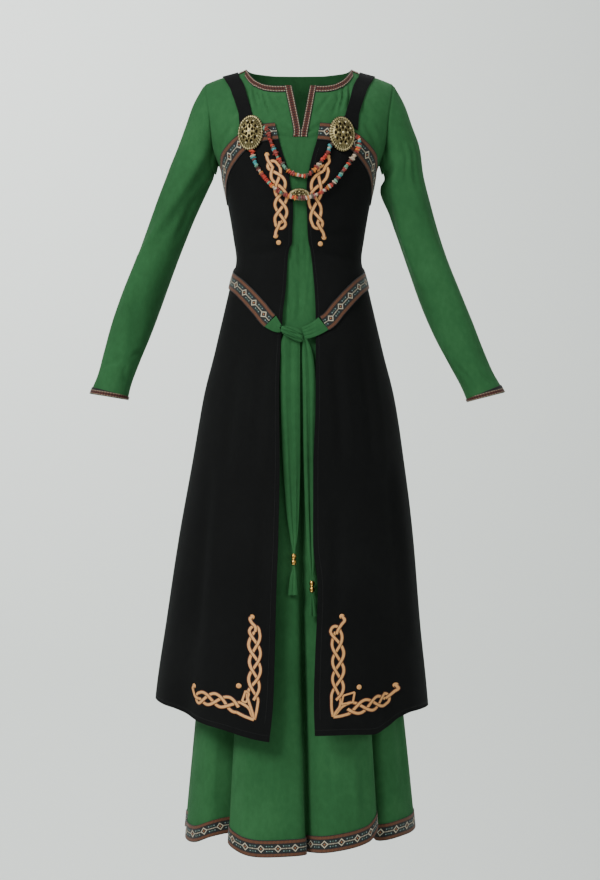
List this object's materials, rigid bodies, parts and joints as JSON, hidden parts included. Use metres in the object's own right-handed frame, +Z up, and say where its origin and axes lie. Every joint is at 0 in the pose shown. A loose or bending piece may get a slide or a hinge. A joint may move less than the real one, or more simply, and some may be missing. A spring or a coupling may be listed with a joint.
{
  "type": "viking apron dress set: open-front apron dress over a long-sleeved underdress, with belt, brooches and bead strands",
  "caption": "Worn two-layer historic costume: black open-front apron dress with straps and brooches over a long-sleeved green underdress, with a trim belt, bead strands and woven trims.",
  "frame": {"origin": "between the shoulders, level with the points where they meet the neckline, half-way from front to back, where the wearer's shoulders carry the garment", "axes": "+Z up, -Y towards the front, -X towards the wearer's right"},
  "size_m": [0.752, 0.4148, 1.4047],
  "materials": {
    "green_cloth": "matt plain weave, softly creased",
    "black_cloth": "matt plain weave",
    "wide_trim": "woven band with diamonds and striped borders",
    "narrow_trim": "narrow braid with pale edge dots",
    "bronze": "antiqued cast metal, satin",
    "gold": "polished",
    "stone_beads": "tumbled stone chips"
  },
  "bodies": {
    "root": {"underdress_front": "green_cloth", "underdress_back": "green_cloth", "underdress_sleeve_right": "green_cloth", "underdress_sleeve_left": "green_cloth", "belt_tie_end_right": "green_cloth", "belt_tie_end_left": "green_cloth", "belt_knot": "green_cloth", "belt_tail_right": "green_cloth", "belt_tail_left": "green_cloth", "apron_front_right": "black_cloth", "apron_front_left": "black_cloth", "apron_back": "black_cloth", "strap_right": "black_cloth", "strap_left": "black_cloth", "hem_trim_front": "wide_trim", "hem_trim_back": "wide_trim", "bust_trim_right": "wide_trim", "bust_trim_left": "wide_trim", "back_trim": "wide_trim", "belt_band": "wide_trim", "neck_trim_front": "narrow_trim", "neck_trim_back": "narrow_trim", "cuff_trim_right": "narrow_trim", "cuff_trim_left": "narrow_trim", "brooch_right": "bronze", "brooch_left": "bronze", "medallion": "bronze", "belt_bead_right_1": "gold", "belt_bead_right_2": "gold", "belt_bead_left_1": "gold", "belt_bead_left_2": "gold", "bead_strand_upper": "stone_beads", "bead_strand_lower": "stone_beads"}
  },
  "joints": []
}
